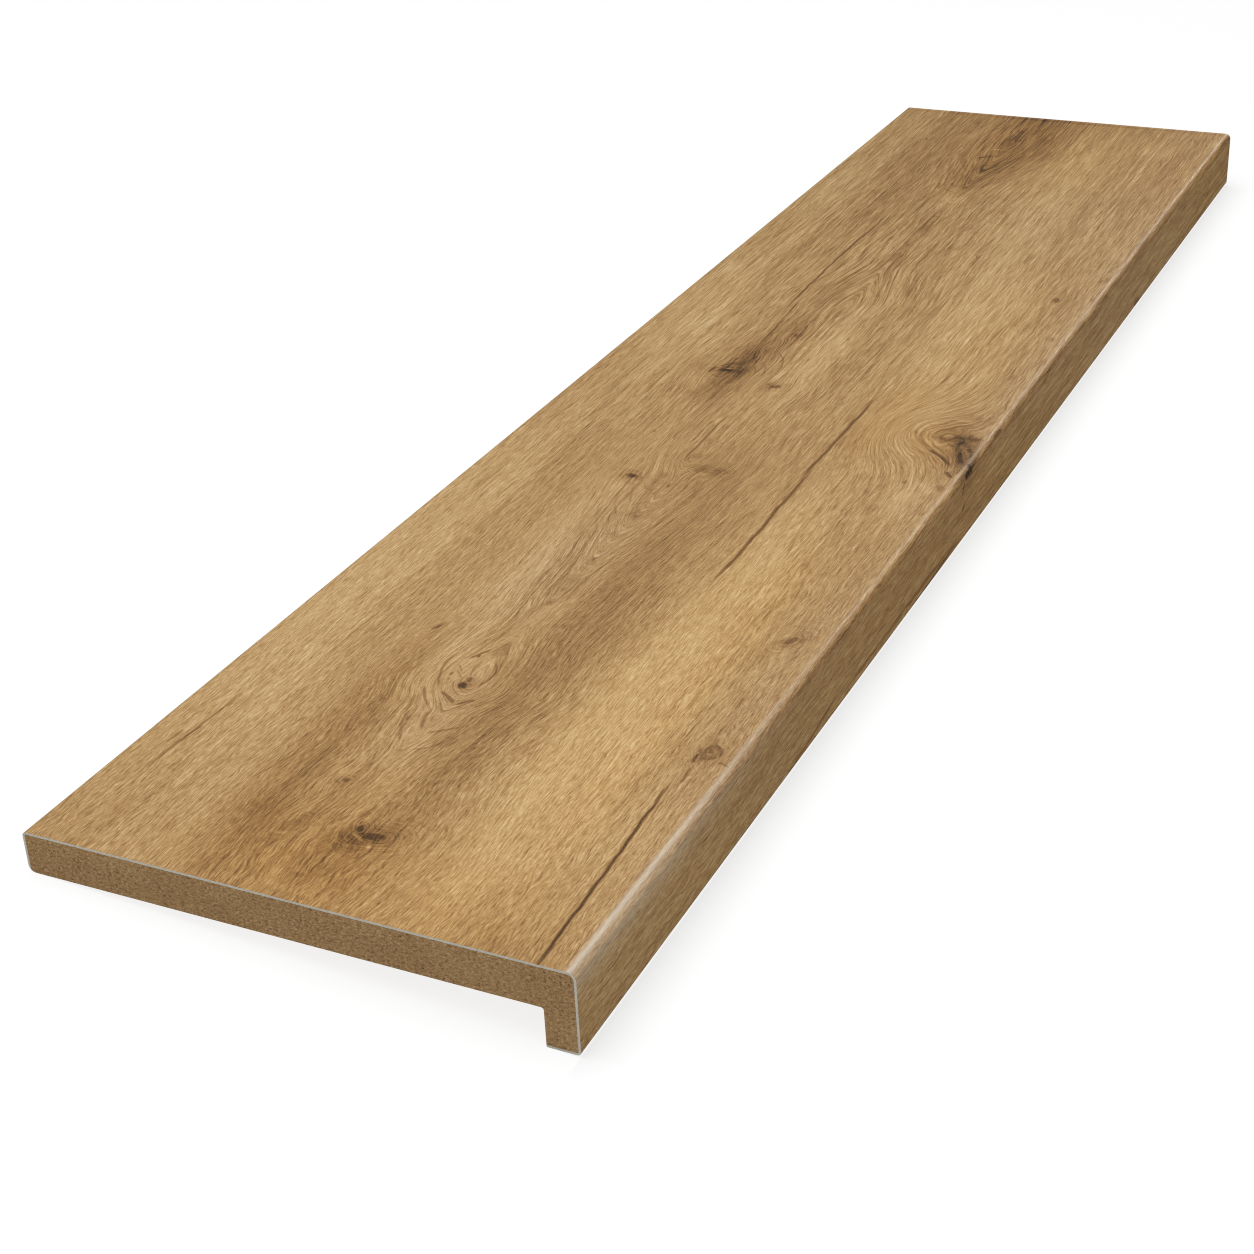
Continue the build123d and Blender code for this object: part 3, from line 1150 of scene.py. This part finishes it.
        far = graph.fade(sheet.along, *self.far_grain)
        tone = tone + grain["broad"] * 0.16 + grain["line"] * (far * 0.13 + 0.19)
        tone = tone + grain["fine"] * (0.50 - far * 0.22) + grain["streak"] * (far * 0.30 + 0.14)
        tone = tone + grain["mottle"] * (0.28 - far * 0.18)
        tone = tone + grain["pale"] * 0.09 - grain["hair"] * 0.12 - grain["pore"] * 0.12
        tone = tone - self.growth(sheet, figure) * 0.20 - figure["halo"]
        dark = graph.most((figure["core"], self.cracked(sheet)))
        speckle = sheet.cells(1.4, 0.9, 9.0, 1.0) * 0.5 + 1.0
        tone = tone * (1.0 - graph.math("MULTIPLY", dark, speckle, clamp=True) * 0.92)

        nose_highlit = graph.fade(sheet.along, *self.nose_highlight_span)
        past_nose = sheet.across - self.nose_across
        # painted shade: a darker band just below the bend of the nose, fainter towards the near end
        tone = tone - graph.bell((past_nose + 3.8) / 2.4) * (0.17 - nose_highlit * 0.13)
        colour = graph.mix(1.0, graph.ramp(tone, self.tones), graph.ramp(warmth, self.tints), "MULTIPLY")
        # painted highlight: a pale band along the bend of the nose, stronger and broader towards the near end
        painted_highlight = graph.bell(past_nose / 1.7) * (nose_highlit * 0.38 + 0.13)
        painted_highlight = painted_highlight + graph.bell((past_nose + 6.0) / 5.0) * nose_highlit * 0.20
        graph.feed(shader.inputs["Base Color"], graph.mix(painted_highlight, colour, self.nose_highlight_colour))

        roughness = 0.46 - grain["fine"] * 0.16 + grain["pore"] * 0.08 + dark * 0.16
        graph.feed(shader.inputs["Roughness"], roughness)
        graph.emboss(shader, self.pressed(sheet), 0.2 * MM, 0.35)
        shader.inputs["Specular IOR Level"].default_value = 0.14
        shader.inputs["Coat Weight"].default_value = 0.16
        shader.inputs["Coat Roughness"].default_value = 0.14
        return material


@dataclass(frozen=True)
class TrimmedEdge:
    """The sawn and trimmed edge of the laminate: pale grey resin and paper with a fine mottle.

    Attributes:
        light: the paler colour.
        dark: the darker colour.
        cell: the size of the mottle, in metres.
    """

    light: Colour = (0.89, 0.865, 0.755)
    dark: Colour = (0.64, 0.605, 0.52)
    cell: float = 2.5 * MM

    def material(self) -> bpy.types.Material:
        """Builds the finish.

        Returns:
            The material. It reads Object coordinates.
        """
        material, graph, shader = new_material("laminate_edge")
        x, y, z = (part / self.cell for part in graph.object_place())
        mottle = graph.noise(graph.point(x, y, z), 3.0, 0.6)
        graph.feed(shader.inputs["Base Color"], graph.mix(mottle * 1.6 + 0.5, self.dark, self.light))
        graph.feed(shader.inputs["Roughness"], mottle * 0.3 + 0.6)
        return material


@dataclass(frozen=True)
class Fibreboard:
    """Bare medium-density fibreboard: pressed fibre with fine mottling, flecks and small pits.

    Attributes:
        tones: the colours from the darkest fleck to the palest.
        base_tone: where the plain board lies among them.
        lip_heights: between which heights the board grows lighter towards the foot of the lip, in millimetres.
    """

    tones: tuple[tuple[float, Colour], ...] = (
        (0.00, (0.18, 0.106, 0.050)),
        (0.35, (0.36, 0.211, 0.091)),
        (0.55, (0.45, 0.272, 0.120)),
        (0.80, (0.53, 0.333, 0.158)),
        (1.00, (0.65, 0.444, 0.236)),
    )
    base_tone: float = 0.61
    lip_heights: tuple[float, float] = (20.0, 12.0)

    def material(self) -> bpy.types.Material:
        """Builds the finish.

        Returns:
            The material. It reads Object coordinates.
        """
        material, graph, shader = new_material("fibreboard")
        x, y, z = (part / MM for part in graph.object_place())
        fine = graph.cells(x, y, (1.3, 1.3), z / 0.9, 1.0, 0.6)
        fibre = graph.cells(x, y, (2.6, 2.6), z / 1.5, 1.0, 0.6)
        cloud = graph.cells(x, y, (22.0, 22.0), z / 14.0, 2.0)
        pit = graph.fade(graph.cells(x, y, (2.2, 2.6), z / 1.4 + 50.0, 1.0), 0.16, 0.27)
        lip = graph.fade(z, *self.lip_heights)
        tone = self.base_tone + lip * 0.10 + fine * 1.40 + fibre * 1.15 + cloud * 0.35 - pit * 0.32
        graph.feed(shader.inputs["Base Color"], graph.ramp(tone, self.tones))
        graph.feed(shader.inputs["Roughness"], 0.86 - fibre * 0.12)
        graph.emboss(shader, fine + fibre - pit, 0.25 * MM, 0.5)
        shader.inputs["Specular IOR Level"].default_value = 0.12
        return material


@dataclass(frozen=True)
class TreadSizes:
    """The tread's length and section in metres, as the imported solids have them, with the section's radii."""

    near_end: float
    far_end: float
    front: float
    back: float
    top: float
    underside: float
    lip_back: float
    laminate: float
    nose_radius: float = 4.5 * MM
    toe_radius: float = 2.0 * MM
    back_radius: float = 2.5 * MM
    round_over: float = 4.0 * MM
    trim_radius: float = 0.6 * MM
    inner_radius: float = 1.5 * MM

    @classmethod
    def from_frame(cls, record: dict) -> TreadSizes:
        """Reads the sizes from the frame.

        Args:
            record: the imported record, whose mounts lie on the underside and the back of the lip.

        Returns:
            The sizes.
        """
        skin_low, skin_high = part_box("laminate_skin")
        core_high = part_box("mdf_core")[1]
        mounts = {mount["name"]: mount["pos_m"] for mount in record["mounts"]}
        return cls(near_end=skin_low.x, far_end=skin_high.x, front=skin_low.y, back=skin_high.y,
                   top=skin_high.z, underside=mounts["underside"][2], lip_back=mounts["lip_back"][1],
                   laminate=skin_high.z - core_high.z)

    @property
    def length(self) -> float:
        """The length of the tread."""
        return self.far_end - self.near_end


@dataclass(frozen=True)
class Bend:
    """A bend of the section, as an arc in the Y-Z plane.

    Attributes:
        y: where the centre lies from front to back.
        z: the centre's height.
        radius: the radius that is drawn.
        start: where the arc starts, in degrees from +Y towards +Z.
        end: where the arc ends.
    """

    y: float
    z: float
    radius: float
    start: float
    end: float

    def point(self, degrees: float) -> tuple[float, float]:
        """The point of the arc at an angle."""
        angle = math.radians(degrees)
        return self.y + self.radius * math.cos(angle), self.z + self.radius * math.sin(angle)


class SectionPen:
    """Draws a section in the Y-Z plane by pulling one vertex along lines and round bends."""

    degrees_a_step = 7.5

    def __init__(self, shape: bmesh.types.BMesh, x: float) -> None:
        """Makes the layers that keep what is drawn.

        Args:
            shape: the mesh that is drawn in.
            x: where the section lies along the tread.
        """
        self.shape = shape
        self.x = x
        self.surface = shape.edges.layers.int.get("surface") or shape.edges.layers.int.new("surface")
        self.across = shape.verts.layers.float.get("across") or shape.verts.layers.float.new("across")
        self.first = None
        self.tip = None
        self.edges: list[bmesh.types.BMEdge] = []

    def begin(self, y: float, z: float) -> None:
        """Puts the pen down."""
        self.tip = self.shape.verts.new((self.x, y, z))
        self.first = self.tip

    def keep(self, edge: bmesh.types.BMEdge, surface: Surface) -> None:
        """Notes a new edge and what it is."""
        edge[self.surface] = surface.value
        self.edges.append(edge)

    def pull(self, surface: Surface, length: float) -> bmesh.types.BMVert:
        """Pulls a new tip out of the last one, in the same place.

        Args:
            surface: what the edge between them is.
            length: how long that edge will be.

        Returns:
            The new tip.
        """
        start = self.tip
        pulled = bmesh.ops.extrude_vert_indiv(self.shape, verts=[start])
        self.keep(pulled["edges"][0], surface)
        self.tip = pulled["verts"][0]
        self.tip[self.across] = start[self.across] + length
        return self.tip

    def line(self, y: float, z: float, surface: Surface, steps: int = 1) -> None:
        """Draws a straight line.

        Args:
            y: where it ends from front to back.
            z: where it ends in height.
            surface: what the line is.
            steps: how many edges it is drawn with.
        """
        step = (Vector((self.x, y, z)) - self.tip.co) / steps
        for _ in range(steps):
            place = self.tip.co + step
            self.pull(surface, step.length).co = place

    def bend(self, bend: Bend, surface: Surface) -> None:
        """Draws an arc that starts at the tip.

        Args:
            bend: the arc.
            surface: what the arc is.
        """
        steps = self.steps(bend)
        turn = math.radians(bend.end - bend.start) / steps
        for _ in range(steps):
            tip = self.pull(surface, bend.radius * abs(turn))
            bmesh.ops.rotate(self.shape, verts=[tip], cent=(self.x, bend.y, bend.z),
                             matrix=Matrix.Rotation(turn, 3, "X"))

    def close(self, surface: Surface) -> None:
        """Joins the tip to the start."""
        self.keep(self.shape.edges.new((self.tip, self.first)), surface)

    @classmethod
    def steps(cls, bend: Bend) -> int:
        """How many edges a bend is drawn with."""
        return max(2, round(abs(bend.end - bend.start) / cls.degrees_a_step))


def sweep(shape: bmesh.types.BMesh, length: float) -> None:
    """Pulls every face of an end section along the tread into a closed solid.

    Args:
        shape: the mesh, which holds only the section's faces.
        length: how far they are pulled along +X.
    """
    pulled = bmesh.ops.extrude_face_region(shape, geom=shape.faces[:], use_keep_orig=True)
    moved = [item for item in pulled["geom"] if isinstance(item, bmesh.types.BMVert)]
    bmesh.ops.translate(shape, verts=moved, vec=(length, 0.0, 0.0))
    bmesh.ops.recalc_face_normals(shape, faces=shape.faces[:])


def finish_mesh(shape: bmesh.types.BMesh, name: str,
                materials: Sequence[bpy.types.Material]) -> bpy.types.Object:
    """Turns a closed shape into a piece with smooth bends and crisp corners.

    Args:
        shape: the shape, which is freed.
        name: the piece's name.
        materials: its finishes, in the order of the faces' material indices.

    Returns:
        The piece.
    """
    crisp = math.radians(30.0)
    for face in shape.faces:
        face.smooth = True
    for edge in shape.edges:
        edge.smooth = edge.calc_face_angle(0.0) < crisp
    mesh = bpy.data.meshes.new(name)
    shape.to_mesh(mesh)
    shape.free()
    for material in materials:
        mesh.materials.append(material)
    piece = bpy.data.objects.new(name, mesh)
    bpy.context.scene.collection.objects.link(piece)
    weighted = piece.modifiers.new("flat_faces_stay_flat", "WEIGHTED_NORMAL")
    weighted.keep_sharp = True
    return piece


@dataclass
class TreadPiece:
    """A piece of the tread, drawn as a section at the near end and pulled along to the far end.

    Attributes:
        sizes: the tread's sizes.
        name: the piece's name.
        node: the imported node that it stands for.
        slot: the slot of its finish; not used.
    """

    sizes: TreadSizes
    name: str
    node: str
    slot: str

    def bends(self) -> list[Bend]:
        """The bends of the printed side, from the back of the lip to the lower back edge."""
        size = self.sizes
        trim, toe, nose, back, over = (size.trim_radius, size.toe_radius, size.nose_radius,
                                       size.back_radius, size.round_over)
        trimmed_to = -math.degrees(math.acos(1.0 - size.laminate / over))
        return [
            Bend(size.lip_back - trim, trim, trim, 0.0, -90.0),
            Bend(size.front + toe, toe, toe, -90.0, -180.0),
            Bend(size.front + nose, size.top - nose, nose, 180.0, 90.0),
            Bend(size.back - back, size.top - back, back, 90.0, 0.0),
            Bend(size.back - over, size.underside + over, over, 0.0, trimmed_to),
        ]

    def draw_glue_face(self, pen: SectionPen) -> None:
        """Draws the face that laminate and core share, from under the lip to the top of the back."""
        for wrap in self.bends()[1:-1]:
            inner = replace(wrap, radius=wrap.radius - self.sizes.laminate)
            pen.line(*inner.point(inner.start), Surface.GLUE)
            pen.bend(inner, Surface.GLUE)

    def dress(self, piece: bpy.types.Object) -> None:
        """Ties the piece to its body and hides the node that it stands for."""
        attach(piece, "root")
        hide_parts(self.node)


@dataclass
class LaminateSkin(TreadPiece):
    """The decor laminate, wrapped from the back edge over the top and the nose to under the lip.

    Attributes:
        stretches: how many stretches of decor share out the length, each with its own finish.
        bake_margin: the empty border of the bake map.
        decor_row: where the printed face lies on the bake map, from its lower edge up, and how high it is.
        glue_row: the same for the glued face.
        cut_rows: the same for the trimmed edge under the lip and the one at the back.
        end_row: the same for the two sawn ends, which lie side by side.
    """

    name: str = "decor_laminate"
    node: str = "laminate_skin"
    slot: str = "oak_laminate"
    stretches: int = 8
    bake_margin: float = 0.02
    decor_row: tuple[float, float] = (0.02, 0.88)
    glue_row: tuple[float, float] = (0.915, 0.02)
    cut_rows: tuple[tuple[float, float], ...] = ((0.937, 0.003), (0.941, 0.003))
    end_row: tuple[float, float] = (0.95, 0.04)

    def draw_decor(self, shape: bmesh.types.BMesh) -> list[bmesh.types.BMEdge]:
        """Draws the printed side, with the trimmed arcs at its two edges.

        Args:
            shape: the mesh that is drawn in.

        Returns:
            The edges.
        """
        trim, *wraps, over = self.bends()
        pen = SectionPen(shape, self.sizes.near_end)
        pen.begin(*trim.point(trim.start))
        pen.bend(trim, Surface.CUT)
        for wrap in wraps:
            pen.line(*wrap.point(wrap.start), Surface.DECOR)
            pen.bend(wrap, Surface.DECOR)
        pen.line(*over.point(over.start), Surface.DECOR)
        pen.bend(over, Surface.CUT)
        return pen.edges

    def draw_glue(self, shape: bmesh.types.BMesh) -> list[bmesh.types.BMEdge]:
        """Draws the glued side, step for step beside the printed one.

        Args:
            shape: the mesh that is drawn in.

        Returns:
            The edges.
        """
        size = self.sizes
        trim, *_, over = self.bends()
        pen = SectionPen(shape, size.near_end)
        pen.begin(size.lip_back, size.laminate)
        pen.line(trim.y, size.laminate, Surface.GLUE, pen.steps(trim))
        self.draw_glue_face(pen)
        pen.line(size.back - size.laminate, over.z, Surface.GLUE)
        pen.line(*over.point(over.end), Surface.GLUE, pen.steps(over))
        return pen.edges

    def build(self) -> bpy.types.Object:
        """Builds the sheet as one closed solid with its decor map and its finishes.

        Returns:
            The piece.
        """
        shape = bmesh.new()
        edges = self.draw_decor(shape) + self.draw_glue(shape)
        bmesh.ops.bridge_loops(shape, edges=edges)
        sweep(shape, self.sizes.length)
        self.sort_faces(shape)
        borders = self.borders()
        for border in borders[1:-1]:
            everything = shape.verts[:] + shape.edges[:] + shape.faces[:]
            bmesh.ops.bisect_plane(shape, geom=everything, plane_co=(border, 0.0, 0.0),
                                   plane_no=(1.0, 0.0, 0.0))
        self.lay_maps(shape)
        marks = OakMarks()
        finishes = [OakDecor(marks, (start / MM, end / MM)).material()
                    for start, end in zip(borders, borders[1:])]
        return finish_mesh(shape, self.name, [*finishes, TrimmedEdge().material()])

    def borders(self) -> list[float]:
        """Where the stretches of decor start and end along the tread."""
        step = self.sizes.length / self.stretches
        return [self.sizes.near_end + step * number for number in range(self.stretches + 1)]

    def sort_faces(self, shape: bmesh.types.BMesh) -> None:
        """Tells the printed face of the swept sheet from its glued face and its cut edges."""
        surface = shape.edges.layers.int["surface"]
        kind = shape.faces.layers.int.new("kind")
        for face in shape.faces:
            if abs(face.normal.x) < 0.5:
                face[kind] = max(edge[surface] for edge in face.edges)

    def lay_maps(self, shape: bmesh.types.BMesh) -> None:
        """Unrolls the sheet into its decor map and its bake map, and gives each stretch its finish.

        Args:
            shape: the sheet, cut into stretches.
        """
        kind = shape.faces.layers.int["kind"]
        across = shape.verts.layers.float["across"]
        decor_map = shape.loops.layers.uv.new(DECOR_MAP)
        bake_map = shape.loops.layers.uv.new(BAKE_MAP)
        on_top = next(vert for vert in shape.verts if vert.co.z > self.sizes.top - 0.01 * MM)
        middle = on_top[across] - on_top.co.y
        lowest = min(vert[across] for vert in shape.verts)
        reach = max(vert[across] for vert in shape.verts) - lowest
        for face in shape.faces:
            ends = abs(face.normal.x) > 0.5
            surface = Surface(face[kind])
            along = (face.calc_center_median().x - self.sizes.near_end) / self.sizes.length
            printed = surface is Surface.DECOR
            face.material_index = math.floor(along * self.stretches) if printed else self.stretches
            for loop in face.loops:
                place = loop.vert.co
                roll = loop.vert[across]
                loop[decor_map].uv = (place.x / MM, (roll - middle) / MM)
                share = (roll - lowest) / reach
                loop[bake_map].uv = self.bake_place(surface, ends, share, place)

    def bake_place(self, kind: Surface, ends: bool, share: float, place: Vector) -> tuple[float, float]:
        """Where a corner lies on the square map that the finish is baked to.

        Args:
            kind: what the face is.
            ends: whether the face is on a sawn end.
            share: share of the sheet's width.
            place: the corner's place on the tread.

        Returns:
            The map's two coordinates.
        """
        size = self.sizes
        span = 1.0 - 2.0 * self.bake_margin
        wide = self.bake_margin + span * (place.x - size.near_end) / size.length
        low, high = self.decor_row
        if ends:
            low, high = self.end_row
            share = place.z / size.top
            depth = (size.back - place.y) / (size.back - size.front)
            wide = self.bake_margin + (0.5 - 2.0 * self.bake_margin) * depth + 0.5 * (place.x > 0.0)
        elif kind is Surface.GLUE:
            low, high = self.glue_row
        elif kind is Surface.CUT:
            low, high = self.cut_rows[share >= 0.5]
        return wide, low + high * share


@dataclass
class FibreboardCore(TreadPiece):
    """The fibreboard core: a flat panel with the lip that stands down from its front."""

    name: str = "fibreboard_core"
    node: str = "mdf_core"
    slot: str = "fibreboard"

    def build(self) -> bpy.types.Object:
        """Builds the core as one closed solid.

        Returns:
            The piece.
        """
        size = self.sizes
        over = self.bends()[-1]
        rounded = replace(over, start=over.end, end=-90.0)
        corner = Bend(size.lip_back + size.inner_radius, size.underside - size.inner_radius,
                      size.inner_radius, 90.0, 180.0)
        shape = bmesh.new()
        pen = SectionPen(shape, size.near_end)
        pen.begin(size.lip_back, size.laminate)
        self.draw_glue_face(pen)
        pen.line(*rounded.point(rounded.start), Surface.GLUE)
        pen.bend(rounded, Surface.CUT)
        pen.line(*corner.point(corner.start), Surface.CUT)
        pen.bend(corner, Surface.CUT)
        pen.close(Surface.CUT)
        bmesh.ops.contextual_create(shape, geom=pen.edges)
        sweep(shape, size.length)
        return finish_mesh(shape, self.name, [Fibreboard().material()])


@dataclass(frozen=True)
class Softbox:
    """A softbox, in metres and watts.

    Attributes:
        name: the light's name.
        place: where it hangs.
        aim: the point that it faces.
        size: its width and height.
        power: its power.
    """

    name: str
    place: tuple[float, float, float]
    aim: tuple[float, float, float]
    size: tuple[float, float]
    power: float

    def hang(self) -> None:
        """Hangs it in the scene."""
        light = bpy.data.lights.new(self.name, "AREA")
        light.shape = "RECTANGLE"
        light.size, light.size_y = self.size
        light.energy = self.power
        lamp = bpy.data.objects.new(self.name, light)
        lamp.location = self.place
        lamp.rotation_euler = (Vector(self.aim) - lamp.location).to_track_quat("-Z", "Y").to_euler()
        bpy.context.scene.collection.objects.link(lamp)


@dataclass
class Studio:
    """A pale floor under the tread's lip and back edge, soft light and the camera.

    Attributes:
        sizes: the tread's sizes.
        floor_half_width: half the floor's width, in metres.
        floor_light: how bright the floor is by itself where the camera sees it.
        contact_dark: how much of that is lost close to the front of the tread.
        contact_width: how far that reaches, in metres.
        glow: how brightly the floor lights the underside.
        room_light: how bright the room is.
        room_seen: how much brighter the camera sees it.
        room_mirrored: how much darker it is in mirror images.
        softboxes: the lights.
        eye: where the camera stands.
        view: where it looks.
        upright: what is up in its picture.
        lens: its focal length in millimetres.
        film: the width of its film in millimetres.
    """

    sizes: TreadSizes
    floor_half_width: float = 9.0
    floor_light: float = 0.845
    contact_dark: float = 0.28
    contact_width: float = 0.025
    glow: float = 0.25
    room_light: float = 0.22
    room_seen: float = 0.70
    room_mirrored: float = 0.14
    softboxes: tuple[Softbox, ...] = (
        Softbox("overhead_softbox", (-0.7, 0.3, 2.6), (-0.1, 0.0, 0.0), (3.2, 3.2), 77.0),
        Softbox("nose_softbox", (2.5, -0.08, 1.75), (0.0, -0.08, 1.2), (0.45, 2.6), 9.5),
        Softbox("front_softbox", (0.2, -3.0, 1.0), (0.0, -0.15, 0.02), (3.0, 1.4), 22.5),
    )
    eye: tuple[float, float, float] = (-1.33560, -0.52851, 0.64179)
    view: tuple[float, float, float] = (0.78389, 0.39469, -0.47931)
    upright: tuple[float, float, float] = (0.45040, 0.16992, 0.87651)
    lens: float = 64.72
    film: float = 36.0

    def floor_plane(self) -> tuple[float, float]:
        """Finds the floor that the tread rests on with its lip and its lower back edge.

        Returns:
            The floor's slope about X, in radians, and its height at the middle of the tread.
        """
        size = self.sizes
        lip_y, lip_z = size.lip_back - size.trim_radius, size.trim_radius
        run = size.back - size.round_over - lip_y
        climb = size.underside + size.round_over - lip_z
        apart = math.hypot(run, climb)
        slope = math.atan2(climb, run) - math.asin((size.round_over - size.trim_radius) / apart)
        height = lip_z - size.trim_radius / math.cos(slope) - lip_y * math.tan(slope)
        return slope, height

    def floor(self) -> None:
        """Lays the floor."""
        slope, height = self.floor_plane()
        shape = bmesh.new()
        bmesh.ops.create_grid(shape, x_segments=1, y_segments=1, size=self.floor_half_width)
        bmesh.ops.rotate(shape, verts=shape.verts[:], matrix=Matrix.Rotation(slope, 3, "X"))
        bmesh.ops.translate(shape, verts=shape.verts[:], vec=(0.0, 0.0, height))
        mesh = bpy.data.meshes.new("floor")
        shape.to_mesh(mesh)
        shape.free()
        mesh.materials.append(self.floor_material())
        floor = bpy.data.objects.new("floor", mesh)
        bpy.context.scene.collection.objects.link(floor)

    def floor_material(self) -> bpy.types.Material:
        """Builds the floor's finish: matt white, lit a little by itself where the camera sees it.

        Its own light dims close to the front of the tread, as a contact shadow. From below
        it is clear, and under the tread it glows so that the underside can be seen.

        Returns:
            The material.
        """
        material, graph, shader = new_material("white_floor")
        material.cycles.emission_sampling = "NONE"
        shader.inputs["Roughness"].default_value = 1.0
        shader.inputs["Specular IOR Level"].default_value = 0.0
        shader.inputs["Emission Color"].default_value = (1.0, 1.0, 1.0, 1.0)
        seen, mirrored, scattered = graph.light_path("Is Camera Ray", "Is Glossy Ray", "Is Diffuse Ray")
        bounced = graph.mix(mirrored, (0.5, 0.5, 0.5), (0.05, 0.05, 0.05))
        graph.feed(shader.inputs["Base Color"], graph.mix(seen, bounced, (0.17, 0.17, 0.17)))
        closeness = graph.node("ShaderNodeAmbientOcclusion")
        graph.feed(closeness.inputs["Distance"], self.contact_width)
        size = self.sizes
        x, y, _ = graph.object_place()
        before = graph.fade(y, size.front + MM, size.front)
        shaded = (1.0 - Signal(graph, closeness.outputs["AO"])) * before
        under = graph.math("LESS_THAN", graph.math("ABSOLUTE", x), size.far_end)
        under = under * graph.math("GREATER_THAN", y, size.front) * graph.math("LESS_THAN", y, size.back)
        own_light = seen * (self.floor_light - shaded * self.contact_dark)
        graph.feed(shader.inputs["Emission Strength"], own_light + scattered * under * self.glow)
        below = graph.node("ShaderNodeMixShader")
        graph.feed(below.inputs[0], Signal(graph, graph.node("ShaderNodeNewGeometry").outputs["Backfacing"]))
        graph.feed(below.inputs[1], Signal(graph, shader.outputs[0]))
        graph.feed(below.inputs[2], Signal(graph, graph.node("ShaderNodeBsdfTransparent").outputs[0]))
        ending = next(node for node in material.node_tree.nodes if node.type == "OUTPUT_MATERIAL")
        graph.feed(ending.inputs["Surface"], Signal(graph, below.outputs[0]))
        return material

    def light(self) -> None:
        """Hangs the softboxes and sets the room's own light."""
        world = bpy.data.worlds.new("studio")
        world.use_nodes = True
        background = next(node for node in world.node_tree.nodes if node.type == "BACKGROUND")
        background.inputs["Color"].default_value = (1.0, 1.0, 1.0, 1.0)
        graph = Graph(world.node_tree)
        seen, mirrored = graph.light_path("Is Camera Ray", "Is Glossy Ray")
        graph.feed(background.inputs["Strength"],
                   self.room_light + seen * self.room_seen - mirrored * self.room_mirrored)
        bpy.context.scene.world = world
        for softbox in self.softboxes:
            softbox.hang()

    def camera(self) -> None:
        """Sets the camera at the viewing angle of the reference."""
        camera = bpy.data.cameras.new("camera")
        camera.sensor_width = self.film
        camera.lens = self.lens
        rig = bpy.data.objects.new("camera", camera)
        back = -Vector(self.view).normalized()
        right = Vector(self.upright).cross(back).normalized()
        turned = Matrix((right, back.cross(right), back)).transposed()
        rig.matrix_world = Matrix.Translation(self.eye) @ turned.to_4x4()
        bpy.context.scene.collection.objects.link(rig)
        bpy.context.scene.camera = rig

    def set_up(self) -> None:
        """Lays the floor, hangs the lights and sets the camera."""
        self.floor()
        self.light()
        self.camera()
        bpy.context.scene.view_settings.view_transform = "Standard"
        bpy.context.scene.cycles.denoising_prefilter = "NONE"
        bpy.context.scene.cycles.filter_width = 1.1


def main() -> None:
    """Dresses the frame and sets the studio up."""
    logging.basicConfig(level=logging.INFO, format="%(name)s: %(message)s")
    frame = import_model()
    sizes = TreadSizes.from_frame(frame["record"])
    for part in (LaminateSkin(sizes), FibreboardCore(sizes)):
        piece = part.build()
        part.dress(piece)
        LOG.info("%s stands for %s with %d faces", piece.name, part.node, len(piece.data.polygons))
    Studio(sizes).set_up()


if __name__ == "__main__":
    main()
